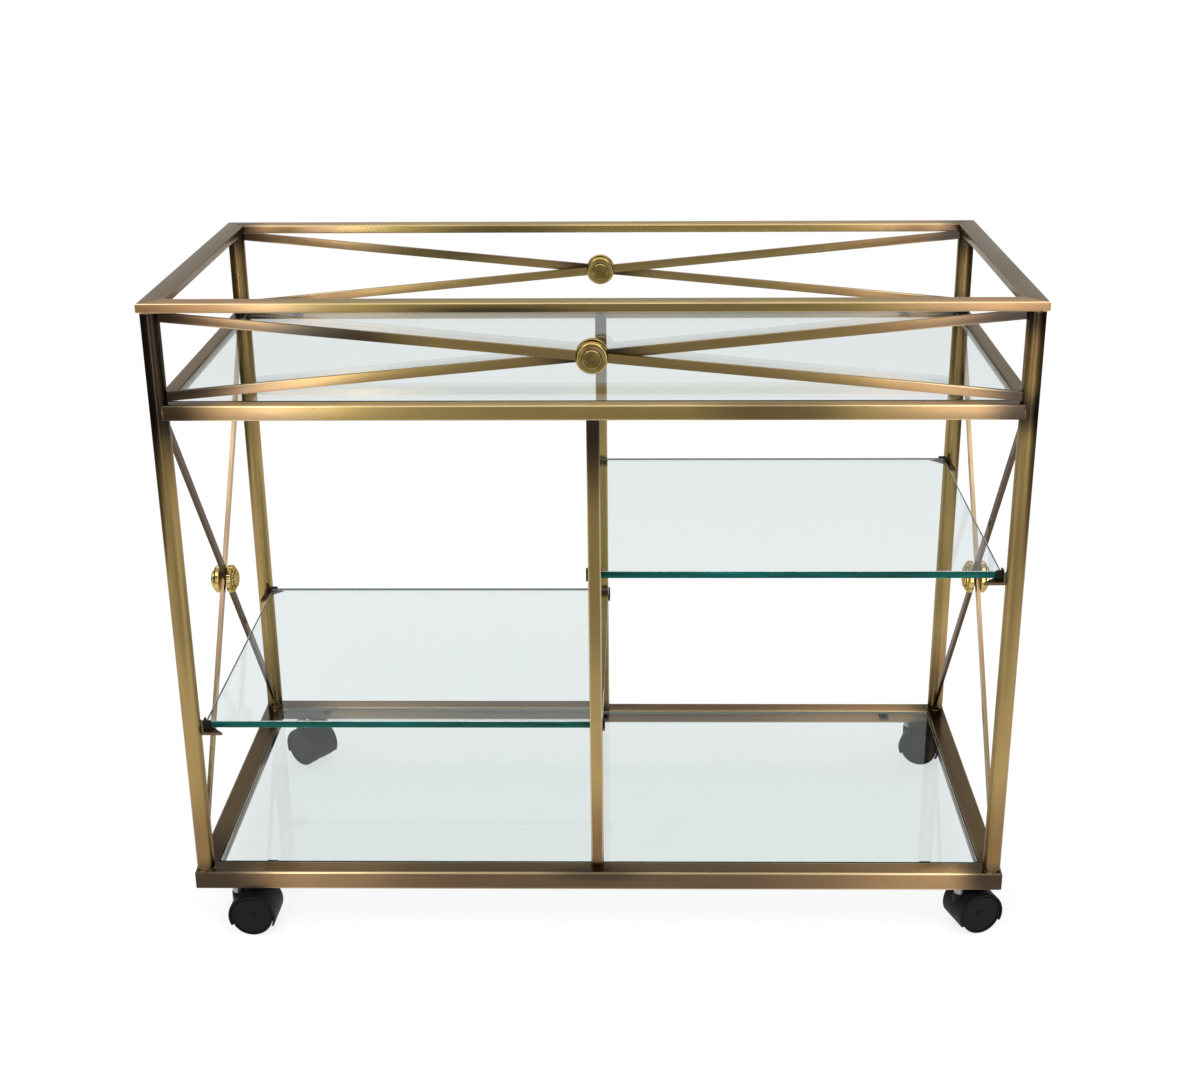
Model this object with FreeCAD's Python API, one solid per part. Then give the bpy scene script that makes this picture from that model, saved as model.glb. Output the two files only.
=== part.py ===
import FreeCAD
import Part
import os

from FreeCAD import Placement, Rotation, Vector

# Bar cart: a brass tube frame with a glass tray, two glass half shelves and a glass base, on casters.
# Millimetres. X runs along the cart, Y from front to back, Z up from the floor under its middle.

# Frame outline, and the rise of each level
frame_length = 889.0
frame_depth = 406.4
tray_rise = 520.9             # base frame's top to tray frame's underside
gallery_rise = 95.0           # tray frame's top to top frame's underside
left_shelf_rise = 167.3       # base frame's top to the glass's underside
right_shelf_rise = 342.4

# Tubes of the three frames
top_rail_width = 22.2
top_rail_height = 9.5
tray_rail_size = 15.9
base_rail_width = 22.2
base_rail_height = 21.3
tube_wall = 1.5
rail_edge_radius = 1.6
weld_gap = 0.05               # between a coped end and the round post that it is welded to

# Posts
post_diameter = 19.05
post_inset = 10.5             # frame's outside to a corner post's axis
centre_post_width = 13.5
centre_post_depth = 10.0
centre_post_setback = 11.2    # frame's outside to a centre post's outer face

# Crossed flat bars
brace_height = 9.5
brace_thickness = 4.0
gallery_brace_top_gap = 0.75
gallery_brace_foot_gap = 2.75
end_brace_top_drop = 5.6      # tray frame's underside to the bar's centre line, at the post
end_brace_foot_rise = 15.3    # base frame's top to the bar's centre line, at the post

# Turned rosettes, in pairs, each pair on a stud through the crossing
rosette_radius = 16.2
rosette_flange = 6.5
rosette_rim_round = 2.4
rosette_back_round = 0.8
rosette_step_radius = 13.0
rosette_step = 1.5
rosette_button_radius = 9.6
rosette_button = 2.5
rosette_button_round = 1.1
stud_diameter = 5.0
stud_bite = 5.0               # how far the stud goes into each rosette
stud_end_gap = 0.5
fit_gap = 0.05                # around studs, sleeves, stems and axles

# Glass
glass_thickness = 8.0
glass_corner_radius = 3.0
glass_arris = 0.5
pane_gap = 1.0                # around the tray and base panes, inside their frames
shelf_inset = 11.7            # corner post's axis to the end of a half shelf
shelf_gap = 1.0               # half shelf's long edge to the centre post

# Tabs and bumpers under the tray and base panes
clip_inset = 79.5             # frame's end to the outer tabs
clip_width = 12.0
clip_reach = 12.0
clip_thickness = 2.0
bumper_diameter = 6.0
bumper_height = 1.5

# Tabs under the half shelves, and the rubber stops at the glass's corners
bracket_leg = 32.0            # from a corner post's axis
bracket_reach = 16.0          # inwards from a centre post
bracket_thickness = 3.0
stop_gap = 0.4
stop_thickness = 2.0
stop_leg = 6.0
stop_rise = 1.5               # above the glass

# Hooded twin-wheel casters
wheel_radius = 23.0
wheel_width = 14.5
wheel_edge_radius = 1.0
wheel_rim = 2.5               # flat rim around the sunk face of a wheel
wheel_face_sink = 0.8
wheel_hub_radius = 5.0
wheel_side_gap = 0.5
hood_clearance = 0.8
hood_wall = 2.5
hood_edge_radius = 1.6
hood_lip = 0.5                # wall left at the rounded edge
hood_overhang = 0.5           # past the outer face of a wheel
hood_drop = 10.3              # axle to the hood's lower edge
hood_headroom = 4.1           # hood's crown to the base frame
caster_trail = 18.0
caster_inset = 43.5           # frame's end to a caster's swivel axis
axle_diameter = 6.0
axle_bite = 10.0              # how far the axle goes into each wheel
axle_end_gap = 0.3
stem_diameter = 8.0
stem_floor = 5.3              # hood left below the stem
web_wall = 1.5
boss_wall = 3.0
collar_step = 2.0
collar_height = 7.8
collar_clearance = 0.5
swivel_gap = 0.1
socket_wall = 2.0
socket_flange_width = 2.0
socket_flange = 1.5
socket_headroom = 2.0         # sleeve's top to the top wall of the base rail
caster_turns = {"front_left": -2.0, "front_right": 19.0, "back_left": -37.0, "back_right": -20.0}

# Heights and places that follow from the sizes above
hood_radius = wheel_radius + hood_clearance + hood_wall
base_under = wheel_radius + hood_radius + hood_headroom
base_top = base_under + base_rail_height
tray_under = base_top + tray_rise
tray_top = tray_under + tray_rail_size
top_under = tray_top + gallery_rise
half_length = frame_length / 2
half_depth = frame_depth / 2
post_radius = post_diameter / 2
post_x = half_length - post_inset
post_y = half_depth - post_inset
centre_outer_y = half_depth - centre_post_setback
centre_inner_y = centre_outer_y - centre_post_depth
shelf_half_depth = centre_inner_y - shelf_gap
shelf_rises = {"left": left_shelf_rise, "right": right_shelf_rise}
sides = {"left": -1, "right": 1}
faces = {"front": -1, "back": 1}
up = Vector(0, 0, 1)


def box(corner, opposite):
    low = Vector(min(corner.x, opposite.x), min(corner.y, opposite.y), min(corner.z, opposite.z))
    return Part.makeBox(
        abs(opposite.x - corner.x), abs(opposite.y - corner.y), abs(opposite.z - corner.z), low)


def prism(corners, under, height):
    points = [Vector(x, y, under) for x, y in corners]
    return Part.Face(Part.makePolygon(points + points[:1])).extrude(up * height)


def turned(profile):
    points = [Vector(radius, 0, height) for radius, height in profile]
    return Part.Face(Part.makePolygon(points + points[:1])).revolve(Vector(), up, 360)


def edges_along(solid, direction):
    straight = [edge for edge in solid.Edges if isinstance(edge.Curve, Part.Line)]
    return [edge for edge in straight if abs(edge.Curve.Direction.dot(direction)) > 0.99]


def circles(solid, radius):
    round_edges = [edge for edge in solid.Edges if isinstance(edge.Curve, Part.Circle)]
    return [edge for edge in round_edges if abs(edge.Curve.Radius - radius) < 1e-6]


def save(node, shapes):
    solids = [solid for shape in shapes for solid in shape.Solids]
    Part.Compound(solids).exportStep(os.path.join("parts", node + ".step"))


def tube(corner, opposite, along):
    """Rectangular tube that fills a box and is open at both ends."""
    outer = box(corner, opposite)
    outer = outer.makeFillet(rail_edge_radius, edges_along(outer, along))
    wall = (Vector(1, 1, 1) - along) * tube_wall
    return outer.cut(box(corner + wall, opposite - wall))


def mitres(outer_x, outer_y, width, under, height):
    """Blocks that share a rectangle of rails out between its four sides, meeting at 45 degrees."""
    inner_x = outer_x - width
    inner_y = outer_y - width
    blocks = {}
    for face, y in faces.items():
        blocks[face] = prism([(-outer_x, y * outer_y), (outer_x, y * outer_y),
                              (inner_x, y * inner_y), (-inner_x, y * inner_y)], under, height)
    for side, x in sides.items():
        blocks[side] = prism([(x * outer_x, -outer_y), (x * outer_x, outer_y),
                              (x * inner_x, inner_y), (x * inner_x, -inner_y)], under, height)
    return blocks


def mitred_frame(width, height, under):
    """Four tubes laid as a rectangle, mitred at the corners."""
    top = under + height
    rails = {}
    for face, y in faces.items():
        low_y = min(y * half_depth, y * (half_depth - width))
        rails[face] = tube(Vector(-half_length, low_y, under),
                           Vector(half_length, low_y + width, top), Vector(1, 0, 0))
    for side, x in sides.items():
        low_x = min(x * half_length, x * (half_length - width))
        rails[side] = tube(Vector(low_x, -half_depth, under),
                           Vector(low_x + width, half_depth, top), Vector(0, 1, 0))
    blocks = mitres(half_length, half_depth, width, under, height)
    return {name: rail.common(blocks[name]) for name, rail in rails.items()}


def post_room():
    """The space that the four corner posts take out of the pieces welded to them."""
    room = [Part.makeCylinder(post_radius + weld_gap, top_under - base_top, Vector(x, y, base_top))
            for x in (-post_x, post_x) for y in (-post_y, post_y)]
    return Part.Compound(room)


def corner_post(x, y):
    height = top_under - base_top
    foot = Vector(x * post_x, y * post_y, base_top)
    outer = Part.makeCylinder(post_radius, height, foot)
    return outer.cut(Part.makeCylinder(post_radius - tube_wall, height, foot))


def tray_rails():
    """Square tubes on the lines between the posts, coped to the posts and mitred inside them."""
    half = tray_rail_size / 2
    rails = {}
    for face, y in faces.items():
        rails[face] = tube(Vector(-post_x, y * post_y - half, tray_under),
                           Vector(post_x, y * post_y + half, tray_top), Vector(1, 0, 0))
    for side, x in sides.items():
        rails[side] = tube(Vector(x * post_x - half, -post_y, tray_under),
                           Vector(x * post_x + half, post_y, tray_top), Vector(0, 1, 0))
    blocks = mitres(post_x + half, post_y + half, tray_rail_size, tray_under, tray_rail_size)
    return {name: rail.common(blocks[name]).cut(post_room()) for name, rail in rails.items()}


def centre_post(y):
    low_y = min(y * centre_outer_y, y * centre_inner_y)
    return tube(Vector(-centre_post_width / 2, low_y, base_top),
                Vector(centre_post_width / 2, low_y + centre_post_depth, tray_under), up)


def flat_bar(start, end, outward):
    """Flat bar whose mating face holds the line from start to end, thick towards outward."""
    run = (end - start).normalize()
    half = run.cross(outward) * (brace_height / 2)
    corners = [start + half, end + half, end - half, start - half]
    return Part.Face(Part.makePolygon(corners + corners[:1])).extrude(outward * brace_thickness)


def crossed_bars(low_ends, high_ends, outward, floor, ceiling):
    """Two bars that cross back to back: the outer one rises to the first of high_ends."""
    crossing = (low_ends[1] + high_ends[0]) * 0.5
    hole = Part.makeCylinder(stud_diameter / 2 + fit_gap, 2 * brace_thickness,
                             crossing - outward * brace_thickness, outward)
    reach = frame_length
    level = box(Vector(-reach, -reach, floor), Vector(reach, reach, ceiling))
    trim = [post_room(), hole]
    outer = flat_bar(low_ends[1], high_ends[0], outward).common(level).cut(trim)
    inner = flat_bar(low_ends[0], high_ends[1], outward * -1).common(level).cut(trim)
    return outer, inner, crossing


def gallery_braces(y):
    """Bars between tray frame and top frame; the outer one rises to the left."""
    end_x = post_x - post_radius
    low = tray_top + gallery_brace_foot_gap + brace_height / 2
    high = top_under - gallery_brace_top_gap - brace_height / 2
    slope = (high - low) / (2 * end_x)
    low -= slope * post_radius
    high += slope * post_radius
    low_ends = [Vector(-post_x, y * post_y, low), Vector(post_x, y * post_y, low)]
    high_ends = [Vector(-post_x, y * post_y, high), Vector(post_x, y * post_y, high)]
    return crossed_bars(low_ends, high_ends, Vector(0, y, 0), tray_top, top_under)


def end_braces(x):
    """Bars between base frame and tray frame; the outer one rises to the back."""
    end_y = post_y - post_radius
    low = base_top + end_brace_foot_rise
    high = tray_under - end_brace_top_drop
    slope = (high - low) / (2 * end_y)
    low -= slope * post_radius
    high += slope * post_radius
    low_ends = [Vector(x * post_x, post_y, low), Vector(x * post_x, -post_y, low)]
    high_ends = [Vector(x * post_x, post_y, high), Vector(x * post_x, -post_y, high)]
    return crossed_bars(low_ends, high_ends, Vector(x, 0, 0), base_top, tray_under)


def rosette(seat, outward):
    """Stepped brass boss turned on a lathe, with a blind hole for the stud in its back."""
    step_top = rosette_flange + rosette_step
    crown = step_top + rosette_button
    bore = stud_diameter / 2 + fit_gap
    hole = stud_bite + stud_end_gap
    body = turned([(0, 0), (rosette_radius, 0), (rosette_radius, rosette_flange),
                   (rosette_step_radius, rosette_flange), (rosette_step_radius, step_top),
                   (rosette_button_radius, step_top), (rosette_button_radius, crown), (0, crown)])
    rims = circles(body, rosette_radius)
    body = body.makeFillet(rosette_rim_round, [rim for rim in rims if rim.Curve.Center.z > 0])
    body = body.makeFillet(
        rosette_back_round,
        [rim for rim in circles(body, rosette_radius) if rim.Curve.Center.z < rosette_back_round])
    tops = [rim for rim in circles(body, rosette_button_radius) if rim.Curve.Center.z > step_top]
    body = body.makeFillet(rosette_button_round, tops).cut(Part.makeCylinder(bore, hole))
    body.Placement = Placement(seat, Rotation(up, outward))
    return body


def rosette_pair(crossing, outward):
    return [rosette(crossing + outward * brace_thickness, outward),
            rosette(crossing - outward * brace_thickness, outward * -1)]


def rosette_stud(crossing, outward):
    reach = brace_thickness + stud_bite
    return Part.makeCylinder(stud_diameter / 2, 2 * reach, crossing - outward * reach, outward)


def pane(low_x, high_x, half_y, under):
    """Sheet of glass with rounded corners and a ground arris along its edges."""
    sheet = box(Vector(low_x, -half_y, under), Vector(high_x, half_y, under + glass_thickness))
    sheet = sheet.makeFillet(glass_corner_radius, edges_along(sheet, up))
    arrises = [edge for edge in sheet.Edges if edge.BoundBox.ZLength < glass_thickness / 2]
    return sheet.makeChamfer(glass_arris, arrises)


def glass_clips(inner_y, rail_top):
    """Tabs on the inner faces of the long rails, each with a round bumper for the pane."""
    tabs = []
    bumpers = []
    tab_top = rail_top - glass_thickness - bumper_height
    outer_x = half_length - clip_inset
    for y in faces.values():
        for x in (-outer_x, 0, outer_x):
            tabs.append(box(
                Vector(x - clip_width / 2, y * inner_y, tab_top - clip_thickness),
                Vector(x + clip_width / 2, y * (inner_y - clip_reach), tab_top)))
            bumpers.append(Part.makeCylinder(
                bumper_diameter / 2, bumper_height, Vector(x, y * (inner_y - clip_reach / 2), tab_top)))
    return tabs, bumpers


def half_shelf(x, under):
    """Pane from one end of the cart to the far side of the centre posts."""
    ends = (x * (post_x - shelf_inset), -x * centre_post_width / 2)
    return pane(min(ends), max(ends), shelf_half_depth, under)


def shelf_brackets(x, under):
    """Flat tabs on two corner posts and both centre posts, under the glass's corners."""
    tabs = []
    far_x = centre_post_width / 2 + stop_gap + stop_thickness
    for y in faces.values():
        axis_x = x * post_x
        axis_y = y * post_y
        corner = [(axis_x, axis_y), (axis_x - x * bracket_leg, axis_y),
                  (axis_x, axis_y - y * bracket_leg)]
        tab = prism(corner, under - bracket_thickness, bracket_thickness)
        tabs.append(tab.cut(post_room()))
        tabs.append(box(
            Vector(x * centre_post_width / 2, y * centre_inner_y, under - bracket_thickness),
            Vector(-x * far_x, y * (centre_inner_y - bracket_reach), under)))
    return tabs


def shelf_stops(x, under):
    """Rubber stops that stand on the tabs: an angle at the posts, a strip at the centre posts."""
    stops = []
    top = under + glass_thickness + stop_rise
    back = stop_gap + stop_thickness
    for y in faces.values():
        end_x = x * (post_x - shelf_inset)
        edge_y = y * shelf_half_depth
        end_strip = box(Vector(end_x + x * stop_gap, edge_y + y * back, under),
                        Vector(end_x + x * back, edge_y - y * stop_leg, top))
        edge_strip = box(Vector(end_x + x * back, edge_y + y * stop_gap, under),
                         Vector(end_x - x * stop_leg, edge_y + y * back, top))
        stops.append(end_strip.fuse(edge_strip).removeSplitter())
        centre_x = -x * centre_post_width / 2
        stops.append(box(Vector(centre_x - x * stop_gap, edge_y, under),
                         Vector(centre_x - x * back, edge_y - y * stop_leg, top)))
    return stops


def caster_socket(x, y):
    """Flanged sleeve in the underside of a base rail."""
    bore = stem_diameter / 2 + fit_gap
    sleeve = stem_diameter / 2 + socket_wall
    flange = sleeve + socket_flange_width
    sleeve_height = base_rail_height - tube_wall - socket_headroom
    profile = [(bore, -socket_flange), (flange, -socket_flange), (flange, 0), (sleeve, 0),
               (sleeve, sleeve_height), (bore, sleeve_height)]
    return turned(profile).translate(Vector(x, y, base_under))


def caster_stem(x, y):
    """Steel stem with a collar that carries the rail's weight onto the hood."""
    stem = stem_diameter / 2
    collar = stem + collar_step
    foot = wheel_radius - hood_drop + stem_floor
    collar_top = base_under - socket_flange
    collar_foot = collar_top - collar_height
    top = base_top - tube_wall - socket_headroom
    profile = [(0, foot), (stem, foot), (stem, collar_foot), (collar, collar_foot),
               (collar, collar_top), (stem, collar_top), (stem, top), (0, top)]
    return turned(profile).translate(Vector(x, y, 0))


def caster_hood():
    """Moulded hood over both wheels, with the web that holds axle and stem between them."""
    across = Vector(0, 1, 0)
    half_web = stem_diameter / 2 + web_wall
    half_width = half_web + wheel_side_gap + wheel_width + hood_overhang
    drum = Part.makeCylinder(
        hood_radius, 2 * half_width, Vector(caster_trail, -half_width, wheel_radius), across)
    drum = drum.makeFillet(min(hood_edge_radius, hood_wall - hood_lip), circles(drum, hood_radius))
    boss_top = base_under - socket_flange - collar_height - swivel_gap
    boss_radius = stem_diameter / 2 + boss_wall
    boss = Part.makeCylinder(boss_radius, boss_top - wheel_radius, Vector(0, 0, wheel_radius))
    wheel_room = wheel_radius + hood_clearance
    rooms = [Part.makeCylinder(wheel_room, half_width, Vector(caster_trail, side * half_web, wheel_radius),
                               across * side) for side in (-1, 1)]
    stem_foot = wheel_radius - hood_drop + stem_floor - swivel_gap
    bore = Part.makeCylinder(stem_diameter / 2 + fit_gap, boss_top - stem_foot, Vector(0, 0, stem_foot))
    collar_radius = stem_diameter / 2 + collar_step + collar_clearance
    collar_room = Part.makeCylinder(collar_radius, base_under - boss_top, Vector(0, 0, boss_top))
    axle_hole = Part.makeCylinder(
        axle_diameter / 2 + fit_gap, 2 * half_web, Vector(caster_trail, -half_web, wheel_radius), across)
    below = box(Vector(-2 * hood_radius, -2 * half_width, -hood_radius),
                Vector(2 * hood_radius + caster_trail, 2 * half_width, wheel_radius - hood_drop))
    return drum.fuse(boss).cut(rooms + [bore, collar_room, axle_hole, below]).removeSplitter()


def caster_axle():
    reach = stem_diameter / 2 + web_wall + wheel_side_gap + axle_bite - axle_end_gap
    return Part.makeCylinder(
        axle_diameter / 2, 2 * reach, Vector(caster_trail, -reach, wheel_radius), Vector(0, 1, 0))


def caster_wheel(side):
    """Moulded wheel with a blind bore on its inner face and a sunk outer face."""
    bore = axle_diameter / 2 + fit_gap
    rim = wheel_radius - wheel_rim
    sunk = wheel_width - wheel_face_sink
    wheel = turned([(bore, 0), (wheel_radius, 0), (wheel_radius, wheel_width), (rim, wheel_width),
                    (rim, sunk), (wheel_hub_radius, sunk), (wheel_hub_radius, wheel_width),
                    (0, wheel_width), (0, axle_bite), (bore, axle_bite)])
    wheel = wheel.makeFillet(wheel_edge_radius, circles(wheel, wheel_radius))
    inner_face = stem_diameter / 2 + web_wall + wheel_side_gap
    wheel.Placement = Placement(
        Vector(caster_trail, side * inner_face, wheel_radius), Rotation(up, Vector(0, side, 0)))
    return wheel


def placed_caster(shape, x, y, turn):
    placed = shape.copy()
    placed.Placement = Placement(Vector(x, y, 0), Rotation(up, turn)).multiply(shape.Placement)
    return placed


os.makedirs("parts", exist_ok=True)

# Where the casters stand: on the centre lines of the front and back base rails
caster_x = half_length - caster_inset
caster_y = half_depth - base_rail_width / 2
caster_places = {face + "_" + side: (x * caster_x, y * caster_y)
                 for face, y in faces.items() for side, x in sides.items()}

# Frame
top_rails = mitred_frame(top_rail_width, top_rail_height, top_under)
base_rails = mitred_frame(base_rail_width, base_rail_height, base_under)
socket_holes = [Part.makeCylinder(stem_diameter / 2 + socket_wall + fit_gap, 2 * tube_wall,
                                  Vector(x, y, base_under - tube_wall / 2))
                for x, y in caster_places.values()]
for name, rail in top_rails.items():
    save("top_rail_" + name, [rail])
for name, rail in tray_rails().items():
    save("tray_rail_" + name, [rail])
for name, rail in base_rails.items():
    save("base_rail_" + name, [rail.cut(socket_holes)])
for face, y in faces.items():
    for side, x in sides.items():
        save("post_" + face + "_" + side, [corner_post(x, y)])
    save("centre_post_" + face, [centre_post(y)])

# Crossed bars with their rosettes
studs = []
crossings = {face: (gallery_braces(y), Vector(0, y, 0)) for face, y in faces.items()}
crossings.update({side: (end_braces(x), Vector(x, 0, 0)) for side, x in sides.items()})
for place, ((outer, inner, crossing), outward) in crossings.items():
    save(place + "_brace_outer", [outer])
    save(place + "_brace_inner", [inner])
    save(place + "_rosettes", rosette_pair(crossing, outward))
    studs.append(rosette_stud(crossing, outward))
save("rosette_studs", studs)

# Tray and base panes, flush with the tops of their frames
tray_inner_x = post_x - tray_rail_size / 2
tray_inner_y = post_y - tray_rail_size / 2
base_inner_x = half_length - base_rail_width
base_inner_y = half_depth - base_rail_width
flush_panes = {"tray": (tray_inner_x, tray_inner_y, tray_top),
               "base": (base_inner_x, base_inner_y, base_top)}
for name, (inner_x, inner_y, rail_top) in flush_panes.items():
    pane_x = inner_x - pane_gap
    save(name + "_glass", [pane(-pane_x, pane_x, inner_y - pane_gap, rail_top - glass_thickness)])
    tabs, bumpers = glass_clips(inner_y, rail_top)
    save(name + "_glass_clips", tabs)
    save(name + "_glass_bumpers", bumpers)

# Half shelves
brackets = []
stops = []
for side, x in sides.items():
    shelf_under = base_top + shelf_rises[side]
    save(side + "_shelf_glass", [half_shelf(x, shelf_under)])
    brackets += shelf_brackets(x, shelf_under)
    stops += shelf_stops(x, shelf_under)
save("shelf_brackets", brackets)
save("shelf_stops", stops)

# Casters
save("caster_sockets", [caster_socket(x, y) for x, y in caster_places.values()])
save("caster_stems", [caster_stem(x, y) for x, y in caster_places.values()])
for name, (x, y) in caster_places.items():
    turn = caster_turns[name]
    save(name + "_caster_hood", [placed_caster(caster_hood(), x, y, turn)])
    save(name + "_caster_axle", [placed_caster(caster_axle(), x, y, turn)])
    save(name + "_wheel_a", [placed_caster(caster_wheel(-1), x, y, turn)])
    save(name + "_wheel_b", [placed_caster(caster_wheel(1), x, y, turn)])
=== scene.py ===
import math

import bmesh
import bpy
from mathutils import Matrix, Vector


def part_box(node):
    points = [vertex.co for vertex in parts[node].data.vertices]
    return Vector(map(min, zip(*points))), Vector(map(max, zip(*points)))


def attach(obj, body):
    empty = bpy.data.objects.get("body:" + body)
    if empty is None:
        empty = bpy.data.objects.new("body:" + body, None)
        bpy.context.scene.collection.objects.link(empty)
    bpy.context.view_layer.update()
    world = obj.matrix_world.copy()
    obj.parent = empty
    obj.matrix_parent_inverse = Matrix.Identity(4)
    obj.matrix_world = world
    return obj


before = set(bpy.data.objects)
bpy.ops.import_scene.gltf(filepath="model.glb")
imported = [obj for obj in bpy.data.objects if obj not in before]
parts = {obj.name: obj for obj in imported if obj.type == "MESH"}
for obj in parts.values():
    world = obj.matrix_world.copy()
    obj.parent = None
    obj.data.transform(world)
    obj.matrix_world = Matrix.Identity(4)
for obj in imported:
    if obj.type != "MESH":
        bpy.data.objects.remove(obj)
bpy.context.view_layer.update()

# Base frame: four square steel tubes, mitred and welded into the rectangle that carries the cart.
# Brass plated, brushed along the tube, dipped to an antique brown and lacquered. The dip stays dark
# around the welds, and the tube's corners are painted bright: partly wear from cloths and shoes, partly a
# painted highlight.
mm = 0.001
faces = ("front", "back")
sides = ("left", "right")
along_cart = Vector((1, 0, 0))
across_cart = Vector((0, 1, 0))


def linear(code):
    shares = [int(code[place:place + 2], 16) / 255 for place in (1, 3, 5)]
    return [s / 12.92 if s <= 0.04045 else ((s + 0.055) / 1.055) ** 2.4 for s in shares] + [1]


def connect(tree, node, inputs):
    for name, value in inputs.items():
        if isinstance(value, bpy.types.Node):
            value = value.outputs[0]
        if isinstance(value, bpy.types.NodeSocket):
            tree.links.new(value, node.inputs[name])
        else:
            node.inputs[name].default_value = value


def add(tree, kind, inputs={}, stops=(), **settings):
    made = tree.nodes.new("ShaderNode" + kind)
    for name, value in settings.items():
        setattr(made, name, value)
    for place, (position, code) in enumerate(stops):
        while len(made.color_ramp.elements) <= place:
            made.color_ramp.elements.new(1)
        made.color_ramp.elements[place].position = position
        made.color_ramp.elements[place].color = linear(code)
    connect(tree, made, inputs)
    return made


def new_finish(name):
    finish = bpy.data.materials.new(name)
    finish.use_nodes = True
    return finish, finish.node_tree, finish.node_tree.nodes["Principled BSDF"]


def dress(piece, finish):
    parts[piece].data.materials.clear()
    parts[piece].data.materials.append(finish)


def middle(piece):
    low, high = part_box(piece)
    return (low + high) / 2


# Antique brass gives the eye a brown-gold metal whose reflections stretch across the brushing, olive
# along the middle of a tube and another tone towards its ends, on the rails a coppery one that is partly
# a painted highlight where the lamps reflect, and sooty around a weld. A dark spot is given as a place
# and its reach: weld smoke, and in some places painted shade. A shade patch is given as a place, its
# reach along and across, and its depth.
def antique_brass(piece, axis, body, warm, dark_spots, warm_from=0.5, crown=0, wear_and_glint=1.0, shade_patches=(),
                  sheen="#D4CCBE"):
    axis = axis.normalized()
    facing = across_cart if axis.x else along_cart
    turn = Matrix((axis, facing, axis.cross(facing)))
    centre = middle(piece)
    bar = parts[piece]
    points = [turn @ (bar.matrix_world @ point.co - centre) for point in bar.data.vertices]
    half = [max(abs(point[way]) for point in points) for way in range(3)]
    finish, tree, shader = new_finish("antique_brass_" + piece)
    place = add(tree, "TexCoord").outputs["Object"]
    laid = {"Vector": place, "Location": centre, "Rotation": turn.transposed().to_euler()}
    # Each piece takes its own stretch of the patterns
    seed = float(len(bpy.data.materials))

    # Brush lines are drawn about ten times too coarse, so that they show from where one stands
    brush_line = (90 * mm, 0.9 * mm, 0.9 * mm)
    cloud = (110 * mm, 60 * mm, 60 * mm)
    lines = add(tree, "Mapping", {**laid, "Scale": brush_line}, vector_type="TEXTURE")
    brush = add(tree, "TexNoise", {"Vector": lines, "W": seed, "Scale": 1.0, "Detail": 3.0},
                noise_dimensions="4D")
    clouds = add(tree, "Mapping", {**laid, "Scale": cloud}, vector_type="TEXTURE")
    drift = add(tree, "TexNoise", {"Vector": clouds, "W": seed, "Scale": 1.0, "Detail": 1.0},
                noise_dimensions="4D")
    ends = add(tree, "Mapping", {**laid, "Scale": half}, vector_type="TEXTURE")
    ends = add(tree, "VectorMath", {0: ends}, operation="ABSOLUTE")
    reach = add(tree, "SeparateXYZ", {0: ends})

    # Towards a tube's ends the tone turns to the end tone; on the rails this coppery end tone is partly a
    # painted highlight where the lamps reflect
    warmth = add(tree, "MapRange", {"Value": reach.outputs["X"], "From Min": warm_from, "From Max": 0.9,
                                    "To Min": 0.0, "To Max": 0.85}, interpolation_type="SMOOTHSTEP")
    tone = add(tree, "MixRGB", {"Fac": warmth, "Color1": linear(body), "Color2": linear(warm)})
    browned = add(tree, "MapRange", {"Value": drift, "From Min": 0.4, "From Max": 0.75,
                                     "To Min": 0.0, "To Max": 0.35})
    tone = add(tree, "MixRGB", {"Fac": browned, "Color1": tone, "Color2": linear("#5E4626")})
    brushed = add(tree, "MapRange", {"Value": brush, "From Min": 0.4, "From Max": 0.7,
                                     "To Min": 0.0, "To Max": 0.06})
    tone = add(tree, "MixRGB", {"Fac": brushed, "Color1": tone, "Color2": linear("#D6BC8A")})

    if crown:
        # A drawn tube's corners are painted bright, most towards its ends: partly wear, partly a painted
        # highlight where the lamps glint on the rounded corners
        edge = add(tree, "Math", {0: reach.outputs["Y"], 1: reach.outputs["Z"]}, operation="MINIMUM")
        edge = add(tree, "MapRange", {"Value": edge, "From Min": 0.76, "From Max": 0.9},
                   interpolation_type="SMOOTHSTEP")
        wear_and_glint_level = add(tree, "MapRange", {"Value": warmth, "To Min": 0.5 * wear_and_glint, "To Max": wear_and_glint})
        worn_and_glint = add(tree, "Math", {0: edge, 1: wear_and_glint_level}, operation="MULTIPLY")
        tone = add(tree, "MixRGB", {"Fac": worn_and_glint, "Color1": tone, "Color2": linear("#EED6A4")})

    # The smoke round each weld, and the painted shade at some dark spots, has a ragged border
    smoke_and_shade_black = linear("#241A12")
    tongue = 12 * mm
    ragged = add(tree, "MapRange", {"Value": drift, "To Min": -tongue, "To Max": tongue})
    for dark_spot, spread in dark_spots:
        gap = add(tree, "VectorMath", {0: place, 1: dark_spot}, operation="DISTANCE").outputs["Value"]
        gap = add(tree, "Math", {0: gap, 1: ragged}, operation="ADD")
        smoke_and_shade = add(tree, "MapRange", {"Value": gap, "From Min": spread * 0.25, "From Max": spread * 1.1,
                                      "To Min": 0.92, "To Max": 0.0}, interpolation_type="SMOOTHSTEP")
        tone = add(tree, "MixRGB", {"Fac": smoke_and_shade, "Color1": tone, "Color2": smoke_and_shade_black})

    # A shade patch is a long patch, with blurred borders, painted dark: painted shade and painted dark
    # reflections along the tube
    for shade_patch, reach_along, reach_across, depth in shade_patches:
        patch = add(tree, "Mapping", {**laid, "Location": shade_patch,
                                      "Scale": (reach_along, reach_across, reach_across)},
                    vector_type="TEXTURE")
        gap = add(tree, "VectorMath", {0: patch}, operation="LENGTH").outputs["Value"]
        shaded = add(tree, "MapRange", {"Value": gap, "From Min": 0.2, "From Max": 1.0,
                                       "To Min": depth, "To Max": 0.0}, interpolation_type="SMOOTHSTEP")
        tone = add(tree, "MixRGB", {"Fac": shaded, "Color1": tone, "Color2": smoke_and_shade_black})

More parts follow.
